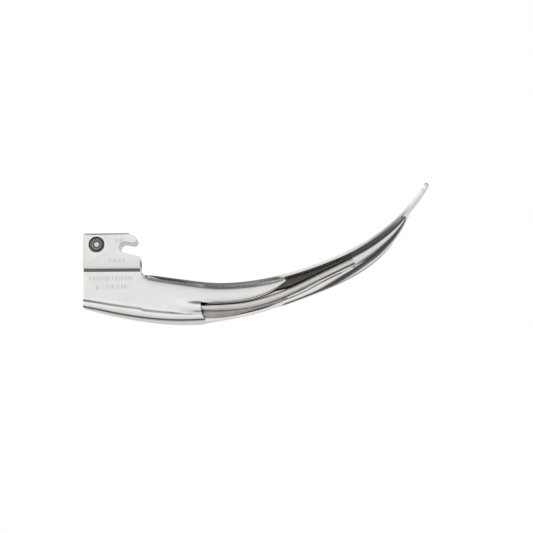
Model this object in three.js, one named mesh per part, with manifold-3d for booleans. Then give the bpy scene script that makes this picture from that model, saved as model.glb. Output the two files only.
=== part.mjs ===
// A curved laryngoscope blade with a built-in light guide, as it comes off its handle.
// Millimetres. The origin is the axis of the handle's hinge pin, where the hook slot holds it.
// +X runs to the tip, +Z up to the handle, and -Y is the right side, which carries the light.
import * as THREE from "three";
import { mergeVertices } from "three/addons/utils/BufferGeometryUtils.js";
import Module from "manifold-3d";

const wasm = await Module();
wasm.setup();

// ---- driving dimensions ----
const SEAM = 0.3; // between sheet pieces that are brazed or bonded together
const FIT_GAP = 0.15; // round pieces that are pressed, screwed or bonded into the block
const SHEET = 1.3; // wall of the pressed sheet pieces
const HEEL_X = -18.7; // the flat back end of the blade and of its base block
const BODY_SIDE = 5.6; // half the width of the hollow heel
const WEB_SIDE = { near: -1.0, far: 0.3 }; // faces of the web in front of the heel
const TANG_SIDE = { near: -4.25, far: 3.75 }; // the tang lies between the walls of the heel

const SPATULA = { thick: 1.3, tipThick: 0.9, start: 8.3, beadRadius: 1.0, tangTop: -11.4 };
const FLANGE = { thick: 1.4 };

const BLOCK = {
  side: 6.4,
  top: 6.4,
  front: 6.9,
  underside: -9.7,
  footChamfer: { depth: 0.4, height: 1.2 },
  topChamfer: 0.5,
  neckSide: 4.0,
  neckBottom: -11.2,
};
const HOOK = { slotRadius: 2.5, noseX: 3.7, noseZ: 3.5, noseRadius: 1.6, ramp: -0.248 };
const DETENT = { x: -12.7, z: 1.35, ball: 2.0, ballDepth: 1.35, bush: 4.3, bushLength: 2.9, bore: 2.1 };
const SPRING = { coil: 1.4, wire: 0.22, length: 5.9, turns: 6 };
const LIGHT = { x: -6.6, bore: 2.5, sheath: 1.6, sheathBore: 1.35, fibre: 1.2, y: -2.8, steps: 46 };
const FERRULE = { radius: 2.35, length: 5.0, face: 0.1 };
const SCREW = { xs: { rear: -14.6, front: 2.2 }, shank: 1.4, head: 2.4, headHeight: 1.8, tip: -5.4, hex: 1.25 };
const INLAY = { depth: 0.5, side: 4.6, low: -8.3, high: -5.9 };
const WINDOW = { rear: 36.0, front: 71.0 }; // stretch of the right side where the light guide lies open

// ---- curves of the blade, seen from the side ----
// Each is a smooth line through the few points that its shape needs, as x, z pairs.
const spatulaTop = sideCurve([
  [8.3, -12.4], [24.9, -15.2], [43, -17.2], [61, -15.8], [79, -11.5],
  [97, -4.8], [110.4, 2.2], [122, 11.0], [130, 19.8], [135.8, 27.6],
]);
const bladeBottom = sideCurve([
  [-18.7, -26.6], [-4.8, -30.1], [11.4, -32.7], [27, -33.6], [43, -32.5], [61, -28.7], [79, -22.8],
  [97, -15.1], [110.4, -7.1], [119.4, 1.1], [125, 8.8], [128.6, 16.2],
]);
const guideLine = new THREE.CatmullRomCurve3(
  [
    [LIGHT.x, 0, 6.7], [LIGHT.x, 0, -3], [LIGHT.x, 0, -13], [-4.7, -0.2, -20.2], [1.4, -0.6, -25.2],
    [11, -1.4, -27.0], [23, -2.1, -27.1], [35, -2.6, -26.8], [46, LIGHT.y, -26.4],
    [55, LIGHT.y, -25.5], [64.5, LIGHT.y, -23.2], [74.4, LIGHT.y, -19.6], [103, LIGHT.y, -6.4],
  ].map((p) => new THREE.Vector3(...p)),
  false,
  "centripetal",
);

function sideCurve(points) {
  return new THREE.SplineCurve(points.map(([x, z]) => new THREE.Vector2(x, z)));
}

// Points along a side curve, moved off it to its right-hand side by distance(share of the way).
function offsetPoints(curve, distance, count = 44) {
  return Array.from({ length: count + 1 }, (_, i) => {
    const share = i / count;
    const point = curve.getPointAt(share);
    const along = curve.getTangentAt(share);
    return new THREE.Vector2(along.y, -along.x).multiplyScalar(distance(share)).add(point);
  });
}

// ---- solids ----
function solidOf(geometry) {
  const loose = geometry.index ? geometry.toNonIndexed() : geometry;
  const bare = new THREE.BufferGeometry().setAttribute("position", loose.getAttribute("position"));
  const merged = mergeVertices(bare, 1e-4);
  return new wasm.Manifold(
    new wasm.Mesh({
      numProp: 3,
      vertProperties: merged.attributes.position.array,
      triVerts: new Uint32Array(merged.index.array),
    }),
  );
}

function geometryOf(solid) {
  const mesh = solid.getMesh();
  const geometry = new THREE.BufferGeometry()
    .setAttribute("position", new THREE.BufferAttribute(mesh.vertProperties, 3))
    .setIndex(new THREE.BufferAttribute(mesh.triVerts, 1));
  geometry.computeVertexNormals();
  return geometry;
}

// An outline in x, z pushed along Y from yLow to yHigh.
function sideSolid(shape, yLow, yHigh, curveSegments = 12) {
  const geometry = new THREE.ExtrudeGeometry(shape, {
    depth: yHigh - yLow,
    bevelEnabled: false,
    curveSegments,
  });
  return solidOf(geometry.rotateX(Math.PI / 2).translate(0, yHigh, 0));
}

// An outline in x, y pushed along Z.
function planSolid(shape, zLow, zHigh, curveSegments = 12) {
  const geometry = new THREE.ExtrudeGeometry(shape, {
    depth: zHigh - zLow,
    bevelEnabled: false,
    curveSegments,
  });
  return solidOf(geometry.translate(0, 0, zLow));
}

// An outline in y, z pushed along X.
function frontSolid(shape, xLow, xHigh) {
  const geometry = new THREE.ExtrudeGeometry(shape, { depth: xHigh - xLow, bevelEnabled: false });
  const turn = new THREE.Matrix4().makeBasis(
    new THREE.Vector3(0, 1, 0),
    new THREE.Vector3(0, 0, 1),
    new THREE.Vector3(1, 0, 0),
  );
  return solidOf(geometry.applyMatrix4(turn).translate(xLow, 0, 0));
}

function polygon(points) {
  return new THREE.Shape(points.map((p) => (p.isVector2 ? p : new THREE.Vector2(...p))));
}

function boxSolid([x0, x1], [y0, y1], [z0, z1]) {
  const box = new THREE.BoxGeometry(x1 - x0, y1 - y0, z1 - z0);
  return solidOf(box.translate((x0 + x1) / 2, (y0 + y1) / 2, (z0 + z1) / 2));
}

function rodSolid(radius, axis, length, centre, sides = 32) {
  const rod = new THREE.CylinderGeometry(radius, radius, length, sides);
  if (axis === "z") rod.rotateX(Math.PI / 2);
  return solidOf(rod.translate(...centre));
}

// A solid turned about Y from a closed profile of r, y pairs.
function turned(profile, sides = 32) {
  const points = profile.map(([r, y]) => new THREE.Vector2(r, y));
  return new THREE.LatheGeometry([...points, points[0].clone()], sides);
}

function circleShape(radius, hole = 0) {
  const shape = new THREE.Shape().absarc(0, 0, radius, 0, 2 * Math.PI, false);
  if (hole > 0) shape.holes.push(new THREE.Path().absarc(0, 0, hole, 0, 2 * Math.PI, true));
  return shape;
}

function tube(shape, path, steps, sides) {
  return new THREE.ExtrudeGeometry(shape, {
    steps,
    curveSegments: sides,
    extrudePath: path,
    bevelEnabled: false,
  });
}

// ---- regions between the curves ----
const spatulaThickness = (share) => THREE.MathUtils.lerp(SPATULA.thick, SPATULA.tipThick, share);

// Everything under the spatula, below the tang at the heel.
function underSpatula(gap) {
  const below = offsetPoints(spatulaTop, (share) => spatulaThickness(share) + gap);
  const shape = polygon([
    [HEEL_X - 1, SPATULA.tangTop - SPATULA.thick - gap],
    [5.0, SPATULA.tangTop - SPATULA.thick - gap],
    ...below,
    [150, -60],
    [HEEL_X - 1, -60],
  ]);
  return sideSolid(shape, -20, 20);
}

// Everything above the bottom line of the blade, raised by some height.
function aboveBottom(raise) {
  const line = offsetPoints(bladeBottom, (share) => -raise(share));
  line[0].x = HEEL_X;
  return sideSolid(polygon([...line, [line.at(-1).x, 60], [HEEL_X, 60]]), -20, 20);
}

// ---- blade body ----
function spatula() {
  const under = offsetPoints(spatulaTop, spatulaThickness).reverse();
  const strip = polygon([
    [HEEL_X, SPATULA.tangTop],
    [5.2, SPATULA.tangTop],
    ...offsetPoints(spatulaTop, () => 0),
    ...under,
    [5.0, SPATULA.tangTop - SPATULA.thick],
    [HEEL_X, SPATULA.tangTop - SPATULA.thick],
  ]);
  const plan = new THREE.Shape()
    .moveTo(HEEL_X, TANG_SIDE.near)
    .lineTo(SPATULA.start, TANG_SIDE.near)
    .lineTo(SPATULA.start, -5.6)
    .splineThru(planPoints([[11, -8.2], [17, -11], [27, -12.3], [42, -12.6]]))
    .lineTo(118, -12.6)
    .splineThru(planPoints([[127, -12.3], [132, -10.8], [135.2, -8], [136.2, -4.8]]))
    .splineThru(planPoints([[135.2, -1.6], [132, 1.2], [127, 2.6], [118, 2.4]]))
    .splineThru(planPoints([[105, 0.9], [70, 0.6], [36, 0.6]]))
    .splineThru(planPoints([[29, 1.2], [20, 3.4], [12, 5.3], [SPATULA.start, 5.6]]))
    .lineTo(SPATULA.start, TANG_SIDE.far)
    .lineTo(HEEL_X, TANG_SIDE.far);
  const plate = sideSolid(strip, -20, 20).intersect(planSolid(plan, -60, 60));
  const holes = [
    rodSolid(LIGHT.sheath + 0.6, "z", 10, [LIGHT.x, 0, -12]),
    ...Object.values(SCREW.xs).map((x) => rodSolid(SCREW.shank + 0.3, "z", 10, [x, 0, -12], 24)),
  ];
  const end = spatulaTop.getPointAt(1);
  const along = spatulaTop.getTangentAt(1);
  const middle = new THREE.Vector2(along.y, -along.x).multiplyScalar(SPATULA.tipThick / 2).add(end);
  const bead = new THREE.CapsuleGeometry(SPATULA.beadRadius, 5.0, 6, 16);
  const beadSolid = solidOf(bead.translate(middle.x - 0.3, -4.8, middle.y - 0.3));
  return holes.reduce((left, hole) => left.subtract(hole), plate).add(beadSolid);
}

function planPoints(points) {
  return points.map(([x, y]) => new THREE.Vector2(x, y));
}

// The web is one pressed sheet: the left wall of the hollow heel, cranked across to the blade's web.
function webPlate() {
  const { near, far } = WEB_SIDE;
  const plan = new THREE.Shape()
    .moveTo(HEEL_X, BODY_SIDE)
    .lineTo(4, BODY_SIDE)
    .splineThru(planPoints([[12, 5.1], [21, 3.0], [29, 0.95], [36, far]]))
    .lineTo(130, far)
    .lineTo(130, near)
    .lineTo(36, near)
    .splineThru(planPoints([[28, -0.4], [20, 1.7], [11, 3.8], [3, BODY_SIDE - SHEET]]))
    .lineTo(HEEL_X, BODY_SIDE - SHEET);
  const lifted = aboveBottom(() => FLANGE.thick + SEAM);
  const heelWall = boxSolid([HEEL_X - 1, SPATULA.start - SEAM], [-20, 20], [-60, -11.0]);
  const region = underSpatula(SEAM).add(heelWall);
  return planSolid(plan, -60, 60).intersect(region).intersect(lifted);
}

// The flange closes the bottom of the hollow heel and stands out to the left.
function flange() {
  const plan = new THREE.Shape()
    .moveTo(HEEL_X, -5.2)
    .lineTo(WINDOW.rear, -5.2)
    .lineTo(WINDOW.front, -4.6)
    .lineTo(WINDOW.front, -4.2)
    .splineThru(planPoints([[90, -2.6], [106, -1.3], [130, WEB_SIDE.near]]))
    .lineTo(130, WEB_SIDE.far + 0.2)
    .splineThru(planPoints([[119, 3.0], [105, 6.4], [80, 9.2], [48, 10.5], [22, 9.6]]))
    .splineThru(planPoints([[6, 7.2], [-6, 6.0], [HEEL_X, 5.6]]));
  const band = aboveBottom(() => 0).subtract(aboveBottom(() => FLANGE.thick));
  return planSolid(plan, -60, 60).intersect(band).intersect(underSpatula(SEAM));
}

// The right side of the hollow heel. Its front end is cut back to let the light guide out.
function heelShell() {
  const plan = new THREE.Shape()
    .moveTo(HEEL_X, -BODY_SIDE)
    .lineTo(WINDOW.rear, -BODY_SIDE)
    .splineThru(planPoints([[54, -5.3], [WINDOW.front + 1, -4.7]]))
    .lineTo(WINDOW.front + 1, -3.7)
    .splineThru(planPoints([[54, -4.2], [WINDOW.rear, -4.4]]))
    .lineTo(HEEL_X, -4.4);
  const side = new THREE.Shape()
    .moveTo(HEEL_X, -11.0)
    .lineTo(6.9, -11.0)
    .lineTo(SPATULA.start, -13.4)
    .lineTo(SPATULA.start, -11.0)
    .lineTo(WINDOW.front + 1, -11.0)
    .lineTo(WINDOW.front + 0.6, -16.0)
    .splineThru(planPoints([[66, -20.6], [57, -23.9], [46, -24.9], [37.5, -25.1]]))
    .splineThru(planPoints([[35.2, -26.2], [34.6, -28.6], [36.2, -31.0], [39.2, -33.2]]))
    .lineTo(38, -40)
    .lineTo(HEEL_X, -40);
  const rimRise = (share) => 0.3 + 1.3 * THREE.MathUtils.smoothstep(share, 0, 0.12);
  const region = underSpatula(SEAM).add(
    boxSolid([HEEL_X - 1, SPATULA.start], [-20, -4.3], [-60, -11.0]),
  );
  return sideSolid(side, -20, 0)
    .intersect(planSolid(plan, -60, 60))
    .intersect(region)
    .intersect(aboveBottom(rimRise))
    .subtract(flange())
    .subtract(guideSolid(LIGHT.sheath + SEAM));
}

// A wedge on the right of the web, from the window's front end to where the light guide stops.
function distalCheek() {
  const plan = new THREE.Shape()
    .moveTo(WINDOW.front, WEB_SIDE.near - SEAM)
    .lineTo(WINDOW.front, -4.6)
    .splineThru(planPoints([[88, -3.2], [106, -1.6]]))
    .lineTo(106, WEB_SIDE.near - SEAM);
  const low = guideLine.getPointAt(1);
  const side = polygon([
    [WINDOW.front, -23.6],
    [74.4, -22.0],
    [low.x, low.z - 2.1],
    [107, low.z - 1.0],
    [107, -40],
    [WINDOW.front, -40],
  ]);
  return planSolid(plan, -60, 60)
    .intersect(sideSolid(side, -20, 0))
    .intersect(aboveBottom(() => FLANGE.thick + SEAM))
    .subtract(guideSolid(LIGHT.sheath + SEAM));
}

function heelCap() {
  const x = [HEEL_X, HEEL_X + 1.3];
  const z = [-40, SPATULA.tangTop - SPATULA.thick - SEAM];
  const lifted = aboveBottom(() => FLANGE.thick + SEAM);
  return boxSolid(x, [TANG_SIDE.near, BODY_SIDE - SHEET - SEAM], z).intersect(lifted);
}

// ---- base block ----
function blockOutline() {
  const { slotRadius: r, noseX, noseZ, noseRadius, ramp } = HOOK;
  const foot = Math.atan(ramp) - Math.PI / 2; // where the ramp leaves the slot's circle
  const footX = r * Math.cos(foot);
  const footZ = r * Math.sin(foot);
  const cornerX = BLOCK.front - 0.7;
  return new THREE.Shape()
    .moveTo(HEEL_X, BLOCK.neckBottom)
    .lineTo(BLOCK.front, BLOCK.neckBottom)
    .lineTo(BLOCK.front, -5.0)
    .quadraticCurveTo(BLOCK.front, -4.3, cornerX, footZ + ramp * (cornerX - footX))
    .lineTo(footX, footZ)
    .absarc(0, 0, r, foot, THREE.MathUtils.degToRad(84) - 2 * Math.PI, true)
    .absarc(noseX, noseZ, noseRadius, THREE.MathUtils.degToRad(-98), THREE.MathUtils.degToRad(70), false)
    .lineTo(1.4, BLOCK.top)
    .lineTo(HEEL_X + 0.6, BLOCK.top)
    .lineTo(HEEL_X, BLOCK.top - 0.6);
}

function baseBlock() {
  const { side, top, underside, footChamfer, topChamfer, neckSide, neckBottom } = BLOCK;
  const half = [
    [neckSide, neckBottom - 1],
    [neckSide, underside],
    [side - footChamfer.depth, underside],
    [side, underside + footChamfer.height],
    [side, top - topChamfer],
    [side - topChamfer, top],
  ];
  const mirrored = half.map(([y, z]) => [-y, z]).reverse();
  const cuts = [
    rodSolid(DETENT.bore, "y", 30, [DETENT.x, 0, DETENT.z]),
    rodSolid(LIGHT.bore, "z", 40, [LIGHT.x, 0, 0]),
    boxSolid([BLOCK.front - INLAY.depth - FIT_GAP, 20], [-INLAY.side, INLAY.side], [INLAY.low, INLAY.high]),
  ];
  for (const sign of [-1, 1]) {
    const depth = DETENT.bushLength + FIT_GAP;
    const y = sign * (side - depth / 2 + 5);
    cuts.push(rodSolid(DETENT.bush + FIT_GAP, "y", depth + 10, [DETENT.x, y, DETENT.z], 40));
  }
  for (const x of Object.values(SCREW.xs)) {
    const height = SCREW.tip + 0.5 - neckBottom + 1;
    cuts.push(rodSolid(SCREW.shank + FIT_GAP, "z", height, [x, 0, neckBottom - 1 + height / 2], 24));
  }
  const whole = sideSolid(blockOutline(), -side, side, 14).intersect(
    frontSolid(polygon([...half, ...mirrored]), HEEL_X - 1, 20),
  );
  return cuts.reduce((left, cut) => left.subtract(cut), whole);
}

// ---- light guide ----
function guideSolid(radius) {
  return solidOf(tube(circleShape(radius), guideLine, LIGHT.steps, 6));
}

// Dark bonding compound that holds the light guide up against the spatula.
function pottingFillet() {
  const end = guideLine.getPointAt(1);
  const out = guideLine.getTangentAt(1);
  const across = new THREE.Vector2(-out.z, out.x);
  const side = polygon([
    [WINDOW.front + 1.4, -12],
    [WINDOW.front + 1.4, -19.4],
    [74.4, -19.9],
    [end.x - 0.1, end.z],
    [end.x - 0.1 + 12 * across.x, end.z + 12 * across.y],
  ]);
  return sideSolid(side, -3.6, WEB_SIDE.near - SEAM)
    .intersect(underSpatula(SEAM))
    .subtract(guideSolid(LIGHT.sheath + SEAM));
}

// ---- small turned pieces, each about its own Y axis ----
// The outer end of a detent bush, at y 0, has a dark cone round the lip that keeps the ball in.
function detentBush() {
  const { bush, bushLength, bore } = DETENT;
  return turned([
    [1.78, 0.35], [2.25, 0.35], [2.45, 1.15], [3.55, 0], [bush - 0.15, 0],
    [bush, 0.15], [bush, bushLength], [bore, bushLength], [bore, 0.98],
  ]);
}

function detentSpring() {
  const { coil, wire, length, turns } = SPRING;
  class Helix extends THREE.Curve {
    getPoint(share, target = new THREE.Vector3()) {
      const turn = share * turns * 2 * Math.PI;
      const y = (share - 0.5) * (length - 2 * wire);
      return target.set(coil * Math.cos(turn), y, coil * Math.sin(turn));
    }
  }
  return tube(circleShape(wire), new Helix(), turns * 12, 3);
}

// Head at the bottom, shank upwards, with a hexagon socket in the head.
function tangScrew() {
  const { shank, head, headHeight, hex, tip } = SCREW;
  const length = tip - (SPATULA.tangTop - SPATULA.thick - FIT_GAP);
  const profile = [
    [0, -headHeight], [head - 0.3, -headHeight], [head, -headHeight + 0.3], [head, 0],
    [shank, 0], [shank, length - 0.4], [shank - 0.4, length], [0, length],
  ].map(([r, y]) => new THREE.Vector2(r, y));
  const socket = new THREE.CylinderGeometry(hex, hex, 2.4, 6).translate(0, -headHeight, 0);
  return solidOf(new THREE.LatheGeometry(profile, 24)).subtract(solidOf(socket));
}

function entryFerrule() {
  const { radius, length } = FERRULE;
  const bore = LIGHT.sheath + FIT_GAP;
  return turned([[bore, -length], [radius, -length], [radius, -0.25], [radius - 0.25, 0], [bore, 0]]);
}

// ---- materials ----
const steel = (color, roughness) => new THREE.MeshStandardMaterial({ color, roughness, metalness: 1 });
const MATERIALS = {
  satin: () => steel(0xd9d8d4, 0.3),
  polished: () => steel(0xe2e2e0, 0.12),
  sheath: () => steel(0xbdb6ae, 0.25),
  dark: () => steel(0x4a4744, 0.35),
  potting: () => new THREE.MeshStandardMaterial({ color: 0x2b2a29, roughness: 0.35, metalness: 0 }),
  glass: () => new THREE.MeshStandardMaterial({ color: 0xe9f0ee, roughness: 0.05, metalness: 0 }),
  green: () => new THREE.MeshStandardMaterial({ color: 0x2f6b4a, roughness: 0.4, metalness: 0 }),
};

function piece(name, shape, material) {
  const geometry = shape.isBufferGeometry ? shape : geometryOf(shape);
  const mesh = new THREE.Mesh(geometry, material());
  mesh.name = name;
  return mesh;
}

// ---- assembly ----
function bladeBody() {
  return new THREE.Group().add(
    piece("spatula", spatula(), MATERIALS.polished),
    piece("web_plate", webPlate(), MATERIALS.satin),
    piece("flange", flange(), MATERIALS.polished),
    piece("heel_shell", heelShell(), MATERIALS.satin),
    piece("distal_cheek", distalCheek(), MATERIALS.polished),
    piece("heel_cap", heelCap(), MATERIALS.satin),
  );
}

function lightGuide() {
  const sheathShape = circleShape(LIGHT.sheath, LIGHT.sheathBore);
  const group = new THREE.Group().add(
    piece("light_guide_sheath", tube(sheathShape, guideLine, LIGHT.steps, 6), MATERIALS.sheath),
    piece("fibre_bundle", tube(circleShape(LIGHT.fibre), guideLine, LIGHT.steps, 5), MATERIALS.glass),
    piece("potting_fillet", pottingFillet(), MATERIALS.potting),
  );
  const ferrule = piece("entry_ferrule", entryFerrule(), MATERIALS.polished);
  ferrule.rotation.x = Math.PI / 2;
  ferrule.position.set(LIGHT.x, 0, BLOCK.top - FERRULE.face);
  return group.add(ferrule);
}

function detents() {
  const group = new THREE.Group();
  group.position.set(DETENT.x, 0, DETENT.z);
  for (const [side, sign] of [["right", -1], ["left", 1]]) {
    const bush = piece(`detent_bush_${side}`, detentBush(), MATERIALS.dark);
    bush.position.y = sign * BLOCK.side;
    bush.rotation.z = sign > 0 ? Math.PI : 0;
    const ballShape = new THREE.SphereGeometry(DETENT.ball, 24, 16);
    const ball = piece(`detent_ball_${side}`, ballShape, MATERIALS.polished);
    ball.position.y = sign * (BLOCK.side - DETENT.ballDepth);
    group.add(bush, ball);
  }
  return group.add(piece("detent_spring", detentSpring(), MATERIALS.sheath));
}

function fasteners() {
  const group = new THREE.Group();
  for (const [end, x] of Object.entries(SCREW.xs)) {
    const screw = piece(`tang_screw_${end}`, tangScrew(), MATERIALS.dark);
    screw.rotation.x = Math.PI / 2;
    screw.position.set(x, 0, SPATULA.tangTop - SPATULA.thick - FIT_GAP);
    group.add(screw);
  }
  return group;
}

function baseAssembly() {
  const { side, low, high, depth } = INLAY;
  const inlay = boxSolid(
    [BLOCK.front - depth, BLOCK.front],
    [-side + FIT_GAP, side - FIT_GAP],
    [low + FIT_GAP, high - FIT_GAP],
  );
  return new THREE.Group().add(
    piece("base_block", baseBlock(), MATERIALS.satin),
    piece("colour_code_inlay", inlay, MATERIALS.green),
    detents(),
    fasteners(),
  );
}

export default new THREE.Group().add(bladeBody(), baseAssembly(), lightGuide());
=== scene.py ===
"""Looks of a curved, hook-on laryngoscope blade with a built-in light guide.

Metres throughout, in the CAD frame: +X to the tip, +Z up to the handle, -Y is the side
that carries the light.
"""

import logging
import math
from dataclasses import dataclass, field
from enum import Enum
from typing import Iterable, Sequence

import bmesh
import bpy
from mathutils import Matrix, Vector


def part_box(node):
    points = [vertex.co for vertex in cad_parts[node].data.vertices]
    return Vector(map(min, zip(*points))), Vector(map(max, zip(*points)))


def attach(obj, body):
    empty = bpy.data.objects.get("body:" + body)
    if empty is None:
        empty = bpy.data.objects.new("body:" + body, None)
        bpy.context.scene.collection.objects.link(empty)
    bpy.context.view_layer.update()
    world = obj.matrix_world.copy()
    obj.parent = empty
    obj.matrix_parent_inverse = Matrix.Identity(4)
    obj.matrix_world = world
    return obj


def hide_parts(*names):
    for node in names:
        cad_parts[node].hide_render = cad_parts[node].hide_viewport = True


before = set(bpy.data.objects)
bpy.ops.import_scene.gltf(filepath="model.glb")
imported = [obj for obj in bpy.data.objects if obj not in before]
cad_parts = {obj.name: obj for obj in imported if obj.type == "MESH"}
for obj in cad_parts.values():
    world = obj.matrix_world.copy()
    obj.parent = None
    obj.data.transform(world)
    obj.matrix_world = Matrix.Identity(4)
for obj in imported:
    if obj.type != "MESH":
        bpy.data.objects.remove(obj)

LOG = logging.getLogger("blade")
MM = 0.001
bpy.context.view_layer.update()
BODY = "blade"
Point = tuple[float, float]
Piece = bpy.types.Object
Socket = bpy.types.NodeSocket
Material = bpy.types.Material


class Slot(Enum):
    """The record's material slots, and one darker steel for painted shade that shares the polished slot."""

    POLISHED = "polished_steel"
    SATIN = "satin_steel"
    SHEATH = "sheath_steel"
    BALL = "ball_steel"
    SHADED = "painted_shade_steel"
    DARK = "dark_steel"
    POTTING = "dark_potting"
    GLASS = "optical_glass"
    GREEN = "green_enamel"


# ---------------------------------------------------------------- finishes


class NodeSheet:
    """A material's node tree with short calls for the nodes that the finishes share."""

    def __init__(self, name: str) -> None:
        """Starts an empty tree with a shader and an output.

        Args:
            name: The material's name.
        """
        self.material = bpy.data.materials.new(name)
        self.material.use_nodes = True
        self.tree = self.material.node_tree
        self.shader = self.tree.nodes["Principled BSDF"]
        self.place = self.tree.nodes.new("ShaderNodeTexCoord").outputs["Object"]

    def link(self, source: Socket, target: Socket) -> None:
        """Joins two sockets."""
        self.tree.links.new(source, target)

    def grain(self, scale: Sequence[float], detail: float = 3.0) -> Socket:
        """Noise stretched by three scales, in cells per metre.

        Args:
            scale: Cells per metre along X, Y and Z.
            detail: Octaves of finer noise.

        Returns:
            The noise's value socket.
        """
        mapping = self.tree.nodes.new("ShaderNodeMapping")
        mapping.inputs["Scale"].default_value = scale
        noise = self.tree.nodes.new("ShaderNodeTexNoise")
        noise.inputs["Scale"].default_value = 1.0
        noise.inputs["Detail"].default_value = detail
        self.link(self.place, mapping.inputs["Vector"])
        self.link(mapping.outputs["Vector"], noise.inputs["Vector"])
        return noise.outputs["Fac"]

    def spread(self, value: Socket, low: float, high: float) -> Socket:
        """Maps the middle of a noise's range onto low to high.

        Args:
            value: The noise.
            low: Result at its dark end.
            high: Result at its light end.

        Returns:
            The mapped value socket.
        """
        node = self.tree.nodes.new("ShaderNodeMapRange")
        node.inputs["From Min"].default_value = 0.3
        node.inputs["From Max"].default_value = 0.7
        node.inputs["To Min"].default_value = low
        node.inputs["To Max"].default_value = high
        self.link(value, node.inputs["Value"])
        return node.outputs["Result"]

    def tint(
        self, value: Socket, dark: Sequence[float], light: Sequence[float]
    ) -> Socket:
        """Blends two colours by a value.

        Args:
            value: 0 for dark, 1 for light.
            dark: Linear colour at 0.
            light: Linear colour at 1.

        Returns:
            The colour socket.
        """
        node = self.tree.nodes.new("ShaderNodeMix")
        node.data_type = "RGBA"
        node.inputs[6].default_value = (*dark, 1.0)
        node.inputs[7].default_value = (*light, 1.0)
        self.link(value, node.inputs[0])
        return node.outputs[2]

    def bump(self, value: Socket, strength: float, distance: float) -> None:
        """Adds a bump to the shader, on top of any that is there already.

        Args:
            value: The height.
            strength: 0 to 1.
            distance: Height of the bump in metres.
        """
        node = self.tree.nodes.new("ShaderNodeBump")
        node.inputs["Strength"].default_value = strength
        node.inputs["Distance"].default_value = distance
        self.link(value, node.inputs["Height"])
        for old in self.shader.inputs["Normal"].links:
            self.link(old.from_socket, node.inputs["Normal"])
        self.link(node.outputs["Normal"], self.shader.inputs["Normal"])

    def worn_edges(self) -> Socket:
        """Value that is 1 on sharp outer edges and 0 on flat metal."""
        geometry = self.tree.nodes.new("ShaderNodeNewGeometry")
        node = self.tree.nodes.new("ShaderNodeMapRange")
        node.inputs["From Min"].default_value = 0.53
        node.inputs["From Max"].default_value = 0.62
        self.link(geometry.outputs["Pointiness"], node.inputs["Value"])
        return node.outputs["Result"]


@dataclass(frozen=True)
class SteelFinish:
    """Stainless steel: how bright it is, how smooth, and which way its grain runs."""

    name: str
    dark: tuple[float, float, float]
    light: tuple[float, float, float]
    rough_low: float
    rough_high: float
    grain: tuple[float, float, float]
    grain_height: float

    def make(self) -> Material:
        """Builds the material.

        Returns:
            A metal with stretched grain, cloudy handling marks and brighter worn edges.
        """
        sheet = NodeSheet(self.name)
        sheet.shader.inputs["Metallic"].default_value = 1.0
        clouds = sheet.grain((130.0, 130.0, 130.0), 4.0)
        lines = sheet.grain(self.grain, 2.0)
        tone = sheet.spread(clouds, 0.0, 1.0)
        colour = sheet.tint(tone, self.dark, self.light)
        edges = sheet.worn_edges()
        node = sheet.tree.nodes.new("ShaderNodeMix")
        node.data_type = "RGBA"
        sheet.link(edges, node.inputs[0])
        sheet.link(colour, node.inputs[6])
        node.inputs[7].default_value = (*[min(1.0, c * 1.06) for c in self.light], 1.0)
        sheet.link(node.outputs[2], sheet.shader.inputs["Base Color"])
        both = sheet.tree.nodes.new("ShaderNodeMath")
        both.operation = "MULTIPLY_ADD"
        sheet.link(lines, both.inputs[0])
        both.inputs[1].default_value = 0.5
        half = sheet.tree.nodes.new("ShaderNodeMath")
        half.operation = "MULTIPLY"
        half.inputs[1].default_value = 0.5
        sheet.link(clouds, half.inputs[0])
        sheet.link(half.outputs[0], both.inputs[2])
        rough = sheet.spread(both.outputs[0], self.rough_low, self.rough_high)
        sheet.link(rough, sheet.shader.inputs["Roughness"])
        sheet.bump(lines, 0.5, self.grain_height)
        return sheet.material


@dataclass(frozen=True)
class ResinFinish:
    """A coloured resin or enamel with a slightly uneven gloss."""

    name: str
    dark: tuple[float, float, float]
    light: tuple[float, float, float]
    rough_low: float
    rough_high: float

    def make(self) -> Material:
        """Builds the material.

        Returns:
            A gloss plastic with fine unevenness.
        """
        sheet = NodeSheet(self.name)
        flow = sheet.grain((700.0, 700.0, 700.0), 4.0)
        tone = sheet.spread(flow, 0.0, 1.0)
        sheet.link(sheet.tint(tone, self.dark, self.light), sheet.shader.inputs["Base Color"])
        sheet.link(sheet.spread(flow, self.rough_low, self.rough_high), sheet.shader.inputs["Roughness"])
        sheet.bump(flow, 0.4, 0.00008)
        return sheet.material


@dataclass(frozen=True)
class FibreFinish:
    """The polished end of a bundle of glass fibres."""

    name: str = "optical_glass"
    fibres_per_metre: float = 9000.0

    def make(self) -> Material:
        """Builds the material.

        Returns:
            A pale glossy glass with a cell for each fibre.
        """
        sheet = NodeSheet(self.name)
        cells = sheet.tree.nodes.new("ShaderNodeTexVoronoi")
        cells.inputs["Scale"].default_value = self.fibres_per_metre
        sheet.link(sheet.place, cells.inputs["Vector"])
        tone = sheet.spread(cells.outputs["Distance"], 1.0, 0.0)
        sheet.link(
            sheet.tint(tone, (0.45, 0.47, 0.46), (0.86, 0.9, 0.88)), sheet.shader.inputs["Base Color"]
        )
        sheet.link(sheet.spread(tone, 0.3, 0.08), sheet.shader.inputs["Roughness"])
        sheet.bump(tone, 0.3, 0.00002)
        return sheet.material


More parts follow.
